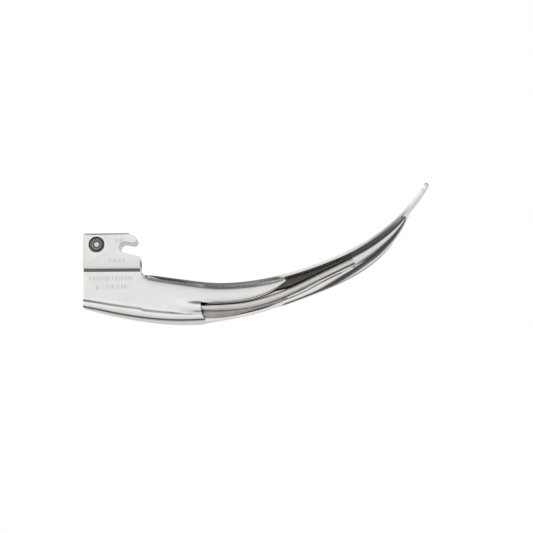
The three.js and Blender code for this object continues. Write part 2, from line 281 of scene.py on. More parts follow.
FINISHES = {
    Slot.SATIN: SteelFinish(
        "satin_steel", (0.79, 0.785, 0.768), (0.86, 0.855, 0.838), 0.2, 0.3, (180, 2600, 2600), 0.000004
    ),
    Slot.POLISHED: SteelFinish(
        "polished_steel", (0.76, 0.755, 0.745), (0.84, 0.835, 0.825), 0.07, 0.14, (90, 1500, 1500), 0.0000012
    ),
    # painted shade: darker steel that stands in for the shade under the light guide
    Slot.SHADED: SteelFinish(
        "painted_shade_steel", (0.34, 0.335, 0.33), (0.44, 0.435, 0.43), 0.16, 0.28, (160, 900, 900), 0.000003
    ),
    Slot.SHEATH: SteelFinish(
        "sheath_steel", (0.64, 0.61, 0.58), (0.74, 0.71, 0.68), 0.16, 0.26, (500, 4000, 500), 0.000003
    ),
    Slot.BALL: SteelFinish(
        "ball_steel", (0.66, 0.64, 0.62), (0.76, 0.74, 0.72), 0.05, 0.12, (900, 900, 900), 0.000001
    ),
    Slot.DARK: SteelFinish(
        "dark_steel", (0.10, 0.095, 0.09), (0.2, 0.19, 0.18), 0.25, 0.4, (2500, 2500, 2500), 0.000003
    ),
    Slot.POTTING: ResinFinish("dark_potting", (0.085, 0.082, 0.077), (0.17, 0.165, 0.155), 0.25, 0.45),
    Slot.GREEN: ResinFinish("green_enamel", (0.02, 0.11, 0.05), (0.04, 0.17, 0.08), 0.25, 0.4),
    Slot.GLASS: FibreFinish(),
}
MATERIALS: dict[Slot, Material] = {}


def material(slot: Slot) -> Material:
    """Material of a slot, made the first time it is asked for.

    Args:
        slot: The record's slot.

    Returns:
        The Blender material.
    """
    if slot not in MATERIALS:
        MATERIALS[slot] = FINISHES[slot].make()
    return MATERIALS[slot]


# ---------------------------------------------------------------- modelling


class Bench:
    """Hand-modelling calls: one object at a time, in edit mode, through Blender's operators."""

    @staticmethod
    def clear() -> None:
        """Leaves edit mode and deselects everything."""
        if bpy.context.object and bpy.context.object.mode != "OBJECT":
            bpy.ops.object.mode_set(mode="OBJECT")
        bpy.ops.object.select_all(action="DESELECT")

    @staticmethod
    def pick(piece: Piece) -> Piece:
        """Makes a piece the only selected and active one."""
        Bench.clear()
        piece.select_set(True)
        bpy.context.view_layer.objects.active = piece
        return piece

    @staticmethod
    def edit(piece: Piece) -> None:
        """Opens a piece in edit mode."""
        Bench.pick(piece)
        bpy.ops.object.mode_set(mode="EDIT")

    @staticmethod
    def finish_edit() -> None:
        """Returns to object mode."""
        bpy.ops.object.mode_set(mode="OBJECT")

    @staticmethod
    def added(name: str) -> Piece:
        """Names the primitive just added and fixes its place in its mesh."""
        piece = bpy.context.object
        piece.name = name
        bpy.ops.object.transform_apply(location=True, rotation=True, scale=True)
        return piece

    @staticmethod
    def point(name: str, place: Vector) -> Piece:
        """A single selected vertex in edit mode, to extrude a profile from."""
        Bench.clear()
        bpy.ops.mesh.primitive_plane_add(size=MM, location=place)
        piece = Bench.added(name)
        Bench.edit(piece)
        Bench.all_of_it()
        bpy.ops.mesh.merge(type="CENTER")
        return piece

    @staticmethod
    def all_of_it() -> None:
        """Selects the whole mesh in edit mode."""
        bpy.ops.mesh.select_all(action="SELECT")

    @staticmethod
    def select_vertices(piece: Piece, wanted: Iterable[int]) -> None:
        """Selects vertices by index in edit mode.

        Args:
            piece: The piece in edit mode.
            wanted: Indices of the vertices.
        """
        keep = set(wanted)
        mesh = bmesh.from_edit_mesh(piece.data)
        bpy.ops.mesh.select_all(action="DESELECT")
        for vertex in mesh.verts:
            vertex.select = vertex.index in keep
        mesh.select_flush(True)
        bmesh.update_edit_mesh(piece.data)

    @staticmethod
    def modify(piece: Piece, kind: str, **settings: object) -> None:
        """Adds a modifier and applies it.

        Args:
            piece: The piece.
            kind: Blender's name of the modifier.
            **settings: The modifier's settings.
        """
        Bench.pick(piece)
        modifier = piece.modifiers.new(kind.lower(), kind)
        for key, value in settings.items():
            setattr(modifier, key, value)
        bpy.ops.object.modifier_apply(modifier=modifier.name)

    @staticmethod
    def smooth(piece: Piece, angle: float = 35.0) -> None:
        """Smooth shading with sharp edges kept past an angle in degrees."""
        Bench.pick(piece)
        bpy.ops.object.shade_smooth_by_angle(angle=math.radians(angle))

    @staticmethod
    def dress(piece: Piece, slot: Slot, body: str = BODY, stands_for: Sequence[str] = ()) -> None:
        """Gives a piece its finish, its body and the CAD nodes that it stands for.

        Args:
            piece: The finished piece.
            slot: The record's slot.
            body: The CAD body that it moves with.
            stands_for: CAD nodes that it replaces.
        """
        piece.data.materials.clear()
        piece.data.materials.append(material(slot))
        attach(piece, body)
        if stands_for:
            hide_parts(*stands_for)
        LOG.info("%s: %d faces, %s, on %s", piece.name, len(piece.data.polygons), slot.value, body)


@dataclass
class SideCurve:
    """A smooth line through a few points in X and Z, in millimetres."""

    points: Sequence[Point]

    def at(self, share: float) -> Point:
        """Point at a share of the way, from 0 to 1.

        Args:
            share: 0 at the first point, 1 at the last.

        Returns:
            X and Z.
        """
        last = len(self.points) - 1
        place = min(max(share, 0.0), 1.0) * last
        i = min(int(place), last - 1)
        t = place - i
        p = [self.points[min(max(k, 0), last)] for k in (i - 1, i, i + 1, i + 2)]
        return tuple(self._blend(t, *(q[axis] for q in p)) for axis in (0, 1))

    @staticmethod
    def _blend(t: float, a: float, b: float, c: float, d: float) -> float:
        """One coordinate of the curve between b and c."""
        v0, v1 = (c - a) / 2, (d - b) / 2
        return (2 * b - 2 * c + v0 + v1) * t**3 + (-3 * b + 3 * c - 2 * v0 - v1) * t**2 + v0 * t + b

    def z(self, x: float) -> float:
        """Height at an X, by halving.

        Args:
            x: Distance along the blade.

        Returns:
            Z there.
        """
        low, high = 0.0, 1.0
        for _ in range(40):
            middle = (low + high) / 2
            if self.at(middle)[0] < x:
                low = middle
            else:
                high = middle
        return self.at(low)[1]


def curve(*points: Point) -> SideCurve:
    """Dataclass field that holds a curve: heights, or any other value, against X.

    Args:
        points: The points that it goes through.

    Returns:
        The field, which gives each instance its own curve.
    """
    return field(default_factory=lambda: SideCurve(points))


@dataclass
class Station:
    """One place along a loft: where the section's anchor lies and how large the section is there."""

    x: float
    y: float
    z: float
    wide: float = 1.0
    tall: float = 1.0


@dataclass
class Loft:
    """A section drawn once in Y and Z, then extruded from station to station and sized at each."""

    name: str
    section: Sequence[Point]
    stations: Sequence[Station]

    def build(self) -> Piece:
        """Models the loft.

        Returns:
            The open sheet, in metres.
        """
        first = self.stations[0]
        piece = Bench.point(self.name, Vector((first.x, first.y, first.z)) * MM)
        points = list(self.section)
        start = Vector((0, points[0][0] * first.wide, points[0][1] * first.tall)) * MM
        bpy.ops.transform.translate(value=start)
        for (y0, z0), (y1, z1) in zip(points, points[1:]):
            step = Vector((0, (y1 - y0) * first.wide, (z1 - z0) * first.tall)) * MM
            bpy.ops.mesh.extrude_region_move(TRANSFORM_OT_translate={"value": step})
        bpy.ops.mesh.select_all(action="SELECT")
        for here, there in zip(self.stations, self.stations[1:]):
            self._step(here, there)
        Bench.finish_edit()
        return piece

    @staticmethod
    def _step(here: Station, there: Station) -> None:
        """Extrudes the selected section from one station to the next."""
        move = Vector((there.x - here.x, there.y - here.y, there.z - here.z)) * MM
        bpy.ops.mesh.extrude_region_move(TRANSFORM_OT_translate={"value": move})
        size = (1.0, there.wide / here.wide, there.tall / here.tall)
        centre = (there.x * MM, there.y * MM, there.z * MM)
        bpy.ops.transform.resize(value=size, center_override=centre)


def spaced(low: float, high: float, count: int) -> list[float]:
    """Even values from low to high, both ends included."""
    return [low + (high - low) * i / (count - 1) for i in range(count)]


def copy_of(node: str, name: str) -> Piece:
    """A merged copy of a CAD node, with flat faces joined, ready for bevels.

    Args:
        node: The CAD node.
        name: The copy's name.

    Returns:
        The copy, free of any parent.
    """
    Bench.pick(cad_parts[node])
    bpy.ops.object.duplicate()
    piece = bpy.context.object
    piece.parent = None
    for key in list(piece.keys()):
        del piece[key]
    piece.name = name
    piece.data.name = name
    Bench.edit(piece)
    bpy.ops.mesh.select_all(action="SELECT")
    bpy.ops.mesh.remove_doubles(threshold=0.000002)
    bpy.ops.mesh.dissolve_limited(angle_limit=math.radians(1.0))
    Bench.finish_edit()
    return piece


def open_row(piece: Piece, x: float, reach: float = 0.02) -> list[int]:
    """Vertices that lie at one X, from the highest to the lowest.

    Args:
        piece: The piece in edit mode.
        x: Place along the blade in millimetres.
        reach: How far from it a vertex may lie.

    Returns:
        The vertices' indices.
    """
    mesh = bmesh.from_edit_mesh(piece.data)
    row = [v for v in mesh.verts if abs(v.co.x - x * MM) < reach * MM]
    return [v.index for v in sorted(row, key=lambda v: (-v.co.z, -v.co.y))]


def nudge(piece: Piece, vertices: Iterable[int], move: tuple[float, float, float]) -> None:
    """Selects vertices and moves them.

    Args:
        piece: The piece in edit mode.
        vertices: Indices of the vertices.
        move: The move in millimetres.
    """
    Bench.select_vertices(piece, vertices)
    bpy.ops.transform.translate(value=Vector(move) * MM)


def face_towards(piece: Piece, direction: Vector) -> None:
    """Turns an open sheet's faces so that most of them look along a direction.

    Args:
        piece: The open sheet.
        direction: The side that is to be its outside.
    """
    total = sum((p.normal * p.area for p in piece.data.polygons), Vector())
    if total.dot(direction) < 0:
        Bench.edit(piece)
        Bench.all_of_it()
        bpy.ops.mesh.flip_normals()
        Bench.finish_edit()


def round_edges(
    piece: Piece, radius: float, angle: float = 30, smooth: float = 40, segments: int = 3
) -> None:
    """Rounds a piece's sharp edges and smooths the rest.

    Args:
        piece: The piece.
        radius: Radius in millimetres.
        angle: Edges sharper than this many degrees are rounded.
        smooth: Edges sharper than this afterwards stay sharp in the shading.
        segments: Steps across the rounding.
    """
    limit = math.radians(angle)
    Bench.modify(
        piece, "BEVEL", width=radius * MM, segments=segments, limit_method="ANGLE", angle_limit=limit
    )
    Bench.smooth(piece, smooth)


def thicken(piece: Piece, outside: Vector, wall: float, round_edge: float) -> None:
    """Turns a sheet into a plate behind its outside face, with rounded edges.

    Args:
        piece: The open sheet.
        outside: Direction of its outside face.
        wall: Thickness in millimetres.
        round_edge: Radius of its edges in millimetres.
    """
    face_towards(piece, outside)
    Bench.modify(piece, "SOLIDIFY", thickness=wall * MM, offset=-1.0, use_even_offset=True)
    round_edges(piece, round_edge, angle=50)


@dataclass
class Tube:
    """A round bar or pipe drawn along a path that lies nearly in the X-Z plane."""

    name: str
    path: Sequence[tuple[float, float, float]]
    radius: float
    sides: int = 32
    capped: bool = True

    def build(self) -> Piece:
        """Models the tube, ring by ring.

        Returns:
            A closed bar, or an open pipe when it isn't capped.
        """
        pitches = [self._pitch(i) for i in range(len(self.path))]
        here = Vector(self.path[0]) * MM
        Bench.clear()
        bpy.ops.mesh.primitive_circle_add(
            vertices=self.sides, radius=self.radius * MM, location=here, rotation=(0, math.pi / 2, 0)
        )
        piece = Bench.added(self.name)
        Bench.edit(piece)
        Bench.all_of_it()
        bpy.ops.transform.rotate(value=pitches[0], orient_axis="Y", center_override=here)
        if self.capped:
            bpy.ops.mesh.edge_face_add()
        pitch = pitches[0]
        for point, turned in zip(self.path[1:], pitches[1:]):
            there = Vector(point) * MM
            bpy.ops.mesh.extrude_region_move(TRANSFORM_OT_translate={"value": there - here})
            bpy.ops.transform.rotate(value=turned - pitch, orient_axis="Y", center_override=there)
            here, pitch = there, turned
        Bench.all_of_it()
        bpy.ops.mesh.normals_make_consistent(inside=False)
        Bench.finish_edit()
        return piece

    def _pitch(self, i: int) -> float:
        """Angle of the path at a point, from +X towards +Z."""
        a = Vector(self.path[max(i - 1, 0)])
        b = Vector(self.path[min(i + 1, len(self.path) - 1)])
        return math.atan2(b.z - a.z, b.x - a.x)


# ---------------------------------------------------------------- the blade


@dataclass
class BladeShape:
    """The curves that all the blade's sheets share, in millimetres."""

    heel: float = -18.7
    spatula_start: float = 8.3
    tang_top: float = -11.4
    spatula_wall: float = 1.2
    side: float = 5.6
    window_rear: float = 34.4
    window_front: float = 72.5
    set_back: SideCurve = curve(
        (80, 0), (88, 0.8), (97, 3.0), (106, 5.0), (113, 5.0), (119, 4.0), (127, 1.8),
    )
    tilt: SideCurve = curve(
        (-18.7, 0.02), (30, 0.02), (34, 0.25), (39, 0.85), (45, 1.25), (52, 1.4), (64, 1.35), (72, 0.9),
        (90, 0.7), (105, 0.3), (118, 0.05), (128, 0.02),
    )
    top: SideCurve = curve(
        (8.3, -12.4), (24.9, -15.2), (43, -17.2), (61, -15.8), (79, -11.5), (97, -4.8), (110.4, 2.2),
        (122, 11.0), (130, 19.8), (135.8, 27.6),
    )
    bottom: SideCurve = curve(
        (-18.7, -26.6), (-4.8, -30.1), (11.4, -32.7), (27, -33.6), (43, -32.5), (61, -28.7), (79, -22.8),
        (97, -15.1), (110.4, -7.1), (119.4, 1.1), (125, 8.8), (128.6, 16.2),
    )

    def under_spatula(self, x: float) -> float:
        """Height of the spatula's underside, or of the block's underside at the heel.

        Args:
            x: Distance along the blade.

        Returns:
            Z there.
        """
        if x < 6.9:
            return -11.05
        if x < self.spatula_start:
            return -11.05 - (x - 6.9) * 1.75
        slope = (self.top.z(x + 0.2) - self.top.z(x - 0.2)) / 0.4 if x > self.spatula_start + 0.3 else 0.2
        return self.top.z(x) - self.spatula_wall * math.hypot(1.0, slope)

    def lean(self, x: float, z: float) -> float:
        """How far the web's face falls back to the left at a place, more so near its foot and the tip.

        Args:
            x: Distance along the blade.
            z: Height.

        Returns:
            The set-back in Y.
        """
        low = self.bottom.z(x)
        share = (z - low) / max(self.under_spatula(x) - low, 0.5)
        return self.set_back.z(x) * max(0.0, 1.0 - max(share, 0.0) / 0.8) ** 2


SHAPE = BladeShape()
VIEWER_SIDE = Vector((0, -1, 0))
UP = Vector((0, 0, 1))


@dataclass
class Spatula:
    """The plate that presses the tongue, its tang under the block, and the bead at its tip."""

    near: SideCurve = curve(
        (8.3, -5.6), (11.5, -8.4), (17, -11.0), (27, -12.3), (45, -12.55), (70, -12.55), (95, -12.55),
        (118, -12.5), (127, -12.0), (132, -10.4), (134.8, -8.2),
    )
    far: SideCurve = curve(
        (8.3, 5.5), (14, 4.8), (22, 2.9), (30, 1.1), (45, 0.6), (70, 0.6), (90, 0.7), (105, 0.9),
        (118, 2.3), (127, 2.4), (132, 0.9), (134.8, -1.3),
    )
    bevel: SideCurve = curve(
        (8.3, 1.0), (11, 1.15), (40, 1.2), (66, 1.15), (70, 0.8), (74, 0.1), (82, 0.0), (96, 0.1),
        (104, 0.6), (112, 0.8), (124, 0.8), (130, 0.3), (134.8, 0.0),
    )
    steps: int = 110
    bead_radius: float = 0.95
    bead_reach: float = 2.5

    def build(self) -> None:
        """Models and dresses the plate and the bead."""
        tang = [Station(SHAPE.heel, -0.25, SHAPE.tang_top, 4.0), Station(5.2, -0.25, SHAPE.tang_top, 4.0)]
        blade = []
        for share in spaced(0.0, 0.992, self.steps):
            x, z = SHAPE.top.at(share)
            near, far = self.near.z(x), self.far.z(x)
            blade.append(Station(x, (near + far) / 2, z, (far - near) / 2))
        section = [(y, -0.14 * y * y) for y in spaced(-1.0, 1.0, 13)]
        plate = Loft("spatula_plate", section, [*tang, *blade]).build()
        face_towards(plate, UP)
        upper = len(plate.data.vertices)
        Bench.modify(plate, "SOLIDIFY", thickness=SHAPE.spatula_wall * MM, offset=-1.0, use_even_offset=True)
        self._grind(plate, upper, [s.x for s in blade])
        round_edges(plate, 0.22)
        Bench.dress(plate, Slot.POLISHED, stands_for=["spatula"])
        self._bead()

    def _grind(self, plate: Piece, upper: int, places: Sequence[float]) -> None:
        """Bevels the underside of the near edge along the heel, where it was ground to fit.

        Args:
            plate: The plate, whose lower vertices follow its upper ones in the same order.
            upper: How many upper vertices there are.
            places: The blade's stations.
        """
        Bench.edit(plate)
        mesh = bmesh.from_edit_mesh(plate.data)
        rows = {round(x, 3): None for x in places}
        for vertex in list(mesh.verts)[:upper]:
            key = min(rows, key=lambda x: abs(x - vertex.co.x / MM))
            if abs(key - vertex.co.x / MM) < 0.02 and (rows[key] is None or vertex.co.y < rows[key][1]):
                rows[key] = (vertex.index, vertex.co.y)
        for x, found in rows.items():
            width = self.bevel.z(x)
            if found and width > 0.02:
                nudge(plate, [found[0] + upper], (0, width, 0))
        Bench.finish_edit()

    def _bead(self) -> None:
        """Models the rounded bead across the tip."""
        x, z = SHAPE.top.at(0.996)
        centre = Vector((x + 0.25, -4.8, z - 0.35)) * MM
        Bench.clear()
        bpy.ops.mesh.primitive_uv_sphere_add(
            segments=32, ring_count=24, radius=self.bead_radius * MM,
            rotation=(math.pi / 2, 0, 0), location=centre,
        )
        bead = Bench.added("tip_bead")
        Bench.edit(bead)
        for sign in (-1, 1):
            mesh = bmesh.from_edit_mesh(bead.data)
            half = [v.index for v in mesh.verts if sign * (v.co.y - centre.y) > 0.01 * MM]
            nudge(bead, half, (0, sign * self.bead_reach, 0))
            bpy.ops.transform.resize(
                value=(0.86, 1.0, 0.86), center_override=centre + Vector((0, sign * self.bead_reach, 0)) * MM
            )
        Bench.finish_edit()
        Bench.smooth(bead, 60)
        Bench.dress(bead, Slot.POLISHED)


def lean_back(piece: Piece) -> None:
    """Sets an upright sheet back by the web's lean, vertex by vertex.

    Args:
        piece: The open sheet.
    """
    Bench.edit(piece)
    mesh = bmesh.from_edit_mesh(piece.data)
    moves = [(v.index, SHAPE.lean(v.co.x / MM, v.co.z / MM)) for v in mesh.verts if v.co.x > 80 * MM]
    for index, back in moves:
        if back > 0.01:
            nudge(piece, [index], (0, back, 0))
    Bench.finish_edit()


@dataclass
class Web:
    """The upright sheet from the heel's left wall to the tip, with a cove under the spatula.

    Its foot is painted darker on both sides where the light guide runs along it: painted shade under the
    guide.
    """

    line: SideCurve = curve(
        (-18.7, 4.35), (-8, 4.35), (3, 4.35), (11, 3.75), (20, 1.65), (28, -0.35), (36, -1.0), (60, -1.0),
        (90, -1.0), (110, -1.0), (128, -0.9),
    )
    wall: float = 1.2
    # height of the painted shade at the web's foot, above its lower edge
    painted_shade_height: float = 4.2
    section: tuple[Point, ...] = (
        (1.3, 0.004), (0.75, 0.02), (0.35, 0.055), (0.1, 0.11), (0.0, 0.18), (0.0, 0.26), (0.0, 0.34),
        (0.0, 0.42), (0.0, 0.51), (0.0, 0.6), (0.0, 0.69), (-0.1, 0.76), (-0.35, 0.815), (-0.8, 0.87),
        (-1.3, 0.925), (-1.8, 0.98), (-2.0, 1.0),
    )

    def build(self) -> None:
        """Models and dresses the web."""
        places = [*spaced(SHAPE.heel, 6.8, 12), 7.6, *spaced(SHAPE.spatula_start + 0.1, 126.5, 96)]
        stations = []
        for x in places:
            low = SHAPE.bottom.z(x) + 0.15 + 0.5 * SHAPE.tilt.z(x)
            tall = max(SHAPE.under_spatula(x) - low, 0.5)
            stations.append(Station(x, self.line.z(x), low, min(1.0, tall / 9.0), tall))
        sheet = Loft("web_sheet", self.section, stations).build()
        lean_back(sheet)
        thicken(sheet, VIEWER_SIDE, self.wall, 0.2)
        Bench.dress(sheet, Slot.POLISHED, stands_for=["web_plate"])
        # painted shade: faces of the web's foot below the light guide, on both sides, get the darker steel
        sheet.data.materials.append(material(Slot.SHADED))
        for side in sheet.data.polygons:
            x, z = side.center.x / MM, side.center.z / MM
            below = z < SHAPE.bottom.z(x) + self.painted_shade_height
            side.material_index = int(below and SHAPE.window_rear - 1 < x < SHAPE.window_front)


@dataclass
class Flange:
    """The lower rail: it closes the heel from below and stands out to the left."""

    near: SideCurve = curve(
        (-18.7, -4.0), (0, -4.0), (20, -4.0), (33.5, -4.1), (36.5, -5.2), (50, -5.15), (60, -5.05),
        (70.8, -4.75), (73, -3.4), (80, -2.7), (88, -1.2), (97, 1.6), (106, 3.3), (113, 3.3), (119, 2.4),
        (128, 0.5),
    )
    far: SideCurve = curve(
        (-18.7, 5.55), (-6, 6.0), (6, 7.2), (22, 9.6), (48, 10.4), (80, 9.1), (105, 6.3), (113, 5.2),
        (119, 4.0), (128, 1.6),
    )
    wall: float = 1.35
    steps: int = 120
    section: tuple[Point, ...] = (
        (-1.0, -0.95), (-0.9, -0.75), (-0.8, -0.54), (-0.7, -0.33), (-0.6, -0.12), (-0.5, 0.07),
        (-0.4, 0.23), (-0.3, 0.36), (-0.15, 0.47), (0.0, 0.53), (0.3, 0.6), (0.6, 0.68), (0.85, 0.76),
        (1.0, 0.82),
    )

    def build(self) -> None:
        """Models and dresses the rail."""
        stations = []
        for share in spaced(0.0, 0.985, self.steps):
            x, z = SHAPE.bottom.at(share)
            near, far = self.near.z(x), self.far.z(x)
            stations.append(Station(x, (near + far) / 2, z, (far - near) / 2, max(SHAPE.tilt.z(x), 0.02)))
        rail = Loft("flange_rail", self.section, stations).build()
        thicken(rail, -UP, self.wall, 0.5)
        Bench.dress(rail, Slot.POLISHED, stands_for=["flange"])


@dataclass
class HeelShell:
    """The heel's right wall. Its front is cut back in a crescent and rolled in over the light guide."""

    wall: float = 1.05
    roll: tuple[float, ...] = (0.1, 0.3, 0.6, 1.0)
    bulge: float = 1.9
    swell_length: float = 14.0
    swell: tuple[tuple[int, float], ...] = (
        (11, 0.05), (12, 0.5), (13, 0.95), (14, 1.0), (15, 0.7), (16, 0.35),
    )
    crescent_reach: float = 2.7
    roll_length: float = 5.0
    skin: tuple[Point, ...] = (
        (0.0, 1.0), (0.0, 0.968), (0.0, 0.935), (0.0, 0.9), (0.0, 0.855), (0.0, 0.79), (0.0, 0.72),
        (0.0, 0.66), (0.0, 0.635), (0.0, 0.61), (0.0, 0.585), (0.0, 0.56), (0.0, 0.5), (0.0, 0.42),
        (0.0, 0.33), (0.0, 0.265), (-0.16, 0.24), (-0.55, 0.21), (-0.98, 0.18), (-1.25, 0.15),
        (-1.32, 0.12), (-1.22, 0.085), (-0.95, 0.05), (-0.5, 0.022), (0.1, 0.005), (0.8, 0.0), (1.5, 0.0),
    )
    kept: int = 12
    cove: tuple[float, ...] = (-1.7, -1.1, -0.62, -0.28, -0.08)
    trough_edge: SideCurve = curve(
        (34.4, -25.0), (40, -25.3), (48, -25.1), (56, -24.0), (63, -21.8), (68.5, -19.0), (72.5, -15.9),
    )
    face: SideCurve = curve(
        (34.4, -5.6), (45, -5.5), (56, -5.3), (66, -5.0), (72.5, -4.7),
    )

    def build(self) -> None:
        """Models and dresses the shell."""
        places = [*spaced(SHAPE.heel, 6.8, 14), 7.6, *spaced(8.4, SHAPE.window_rear, 22)]
        stations = [self._full(x) for x in places]
        shell = Loft("heel_shell_skin", self.skin, stations).build()
        Bench.edit(shell)
        self._meet_spatula(shell, places)
        self._swell(shell, places)
        self._crescent(shell)
        self._roll_in(shell)
        Bench.finish_edit()
        thicken(shell, VIEWER_SIDE, self.wall, 0.16)
        Bench.dress(shell, Slot.SATIN, stands_for=["heel_shell"])

    @staticmethod
    def _full(x: float) -> Station:
        """Station where the shell is at its full height."""
        low = SHAPE.bottom.z(x) - 0.6 * max(0.0, 1.0 - (x - SHAPE.heel) / 13.0) ** 2
        return Station(x, -SHAPE.side, low, 1.0, SHAPE.under_spatula(x) - low)

    def _meet_spatula(self, shell: Piece, places: Sequence[float]) -> None:
        """Curves the top of the wall outwards into the spatula, from where the spatula begins."""
        for x in [p for p in places if p > 8.0]:
            grown = min(1.0, (x - 7.0) / 4.0)
            row = open_row(shell, x)
            for place, out in enumerate(self.cove):
                nudge(shell, [row[place]], (0, out * grown, 0))

    def _swell(self, shell: Piece, places: Sequence[float]) -> None:
        """Pushes the wall out over the light guide, where it comes to the surface."""
        start = SHAPE.window_rear - self.swell_length
        for x in [p for p in places if p > start]:
            along = (x - start) / (SHAPE.window_rear - start)
            row = open_row(shell, x)
            for place, share in self.swell:
                push = -self.bulge * share * along * along * (3 - 2 * along)
                nudge(shell, [row[place]], (0, push, 0))

    def _crescent(self, shell: Piece) -> None:
        """Draws the shell's front edge forward towards its foot."""
        row = open_row(shell, SHAPE.window_rear)
        foot = len(row) - 1
        for place in range(self.kept, len(row)):
            share = (place - self.kept + 1) / (foot - self.kept + 1)
            nudge(shell, [row[place]], (self.crescent_reach * share * share, 0, 0))

    @staticmethod
    def _lowest(shell: Piece, row: Sequence[int]) -> float:
        """Height of the lowest vertex of a row, in millimetres."""
        mesh = bmesh.from_edit_mesh(shell.data)
        mesh.verts.ensure_lookup_table()
        return min(mesh.verts[vertex].co.z for vertex in row) / MM

    def _roll_in(self, shell: Piece) -> None:
        """Runs the upper wall on over the light guide, with its lower edge rolled inwards."""
        x = SHAPE.window_rear
        row = open_row(shell, x)[: self.kept]
        Bench.select_vertices(shell, row)
        high = SHAPE.under_spatula(x)
        low = self._lowest(shell, row)
        done = 0.0
        y = self.face.z(x)
        for x_next in [35.2, 36.2, 37.4, 38.8, *spaced(40.5, SHAPE.window_front, 26)]:
            top, edge, y_next = SHAPE.under_spatula(x_next), self.trough_edge.z(x_next), self.face.z(x_next)
            move = Vector((x_next - x, y_next - y, top - high)) * MM
            bpy.ops.mesh.extrude_region_move(TRANSFORM_OT_translate={"value": move})
            size = (1.0, 1.0, max(top - edge, 0.4) / max(high - low, 0.4))
            centre = (x_next * MM, y_next * MM, top * MM)
            bpy.ops.transform.resize(value=size, center_override=centre)
            x, high, low, y = x_next, top, edge, y_next
            share = min(1.0, (x - SHAPE.window_rear) / self.roll_length)
            if share > done:
                row = open_row(shell, x)
                for place, inward in zip(row[-len(self.roll) :], self.roll):
                    nudge(shell, [place], (0, inward * (share - done), 0))
                Bench.select_vertices(shell, open_row(shell, x))
                done = share


@dataclass
class Cheek:
    """The strip on the web's right, from the step in the lower edge to past the light guide's end."""

    wall: float = 1.0
    face: SideCurve = curve(
        (70.9, -4.75), (80, -4.1), (92, -2.9), (102, -1.8), (110, -0.95), (116, -0.6), (120, 0.2),
    )
    upper: SideCurve = curve(
        (70.9, -24.4), (80, -20.4), (90, -14.8), (102, -8.6), (110, -3.6), (116, 1.6), (120, 5.1),
    )
    overlap: SideCurve = curve(
        (70.9, 1.15), (85, 1.05), (97, 0.8), (108, 0.45), (116, 0.2), (120, -0.25),
    )
    skin: tuple[Point, ...] = (
        (1.6, 1.0), (0.9, 0.97), (0.4, 0.88), (0.1, 0.76), (0.0, 0.64), (0.0, 0.5), (0.05, 0.36),
        (0.22, 0.23), (0.55, 0.12), (1.05, 0.04), (1.7, 0.0),
    )

    def build(self) -> None:
        """Models and dresses the cheek."""
        stations = []
        for x in spaced(70.9, 120.0, 50):
            low = SHAPE.bottom.z(x) - self.overlap.z(x)
            bend = 1.0 + 0.8 * (x - 70.9) / 45.0
            stations.append(Station(x, self.face.z(x), low, bend, max(self.upper.z(x) - low, 1.0)))
        cheek = Loft("cheek_strip", self.skin, stations).build()
        lean_back(cheek)
        thicken(cheek, VIEWER_SIDE, self.wall, 0.14)
        Bench.dress(cheek, Slot.POLISHED, stands_for=["distal_cheek"])


@dataclass
class LightGuide:
    """The steel tube of glass fibres, from the top of the block to three quarters of the way out."""

    radius: float = 1.68
    bore: float = 1.33
    seam_run: tuple[float, float, float] = (-6.0, 0, -1.15)
    route: tuple[tuple[float, float, float], ...] = (
        (-6.6, 0, 6.7), (-6.6, 0, -3), (-6.6, 0, -13), (-4.7, -0.2, -20.2), (1.4, -0.6, -25.0),
        (11, -1.4, -27.0), (23, -2.1, -27.2), (35, -2.6, -27.3), (46, -2.8, -27.0), (55, -2.8, -26.1),
        (64.5, -2.8, -23.8), (74.4, -2.8, -20.1), (88.7, -2.8, -13.3), (103, -2.8, -6.5),
    )
    per_leg: int = 7

    def build(self) -> None:
        """Models and dresses the tube, its glass, its filling and its collar."""
        path = self._path()
        sheath = Tube("sheath_tube", path, self.radius, 40, capped=False).build()
        Bench.modify(sheath, "SOLIDIFY", thickness=(self.radius - self.bore) * MM, offset=-1.0)
        round_edges(sheath, 0.08, angle=50, segments=2)
        Bench.dress(sheath, Slot.SHEATH, stands_for=["light_guide_sheath"])
        glass = Tube("glass_fibres", path, self.bore - 0.03, 32).build()
        Bench.smooth(glass, 40)
        Bench.dress(glass, Slot.GLASS, stands_for=["fibre_bundle"])
        for node, name, slot, width in (
            ("potting_fillet", "potting_seam", Slot.POTTING, 0.2),
            ("entry_ferrule", "light_collar", Slot.POLISHED, 0.1),
        ):
            piece = copy_of(node, name)
            if slot is Slot.POTTING:
                self._run_back(piece)
            round_edges(piece, width, angle=40, smooth=35, segments=2)
            Bench.dress(piece, slot, stands_for=[node])

    def _run_back(self, seam: Piece) -> None:
        """Draws the seam's rear end back behind the heel shell."""
        Bench.edit(seam)
        mesh = bmesh.from_edit_mesh(seam.data)
        rear = min(v.co.x for v in mesh.verts)
        nudge(seam, [v.index for v in mesh.verts if v.co.x < rear + 0.05 * MM], self.seam_run)
        Bench.finish_edit()

    def _path(self) -> list[tuple[float, float, float]]:
        """Fine points along the route, smooth in side view and across."""
        side = SideCurve([(p[0], p[2]) for p in self.route])
        across = SideCurve([(p[0], p[1]) for p in self.route])
        count = (len(self.route) - 1) * self.per_leg + 1
        return [(side.at(s)[0], across.at(s)[1], side.at(s)[1]) for s in spaced(0.0, 1.0, count)]


# ---------------------------------------------------------------- the base block


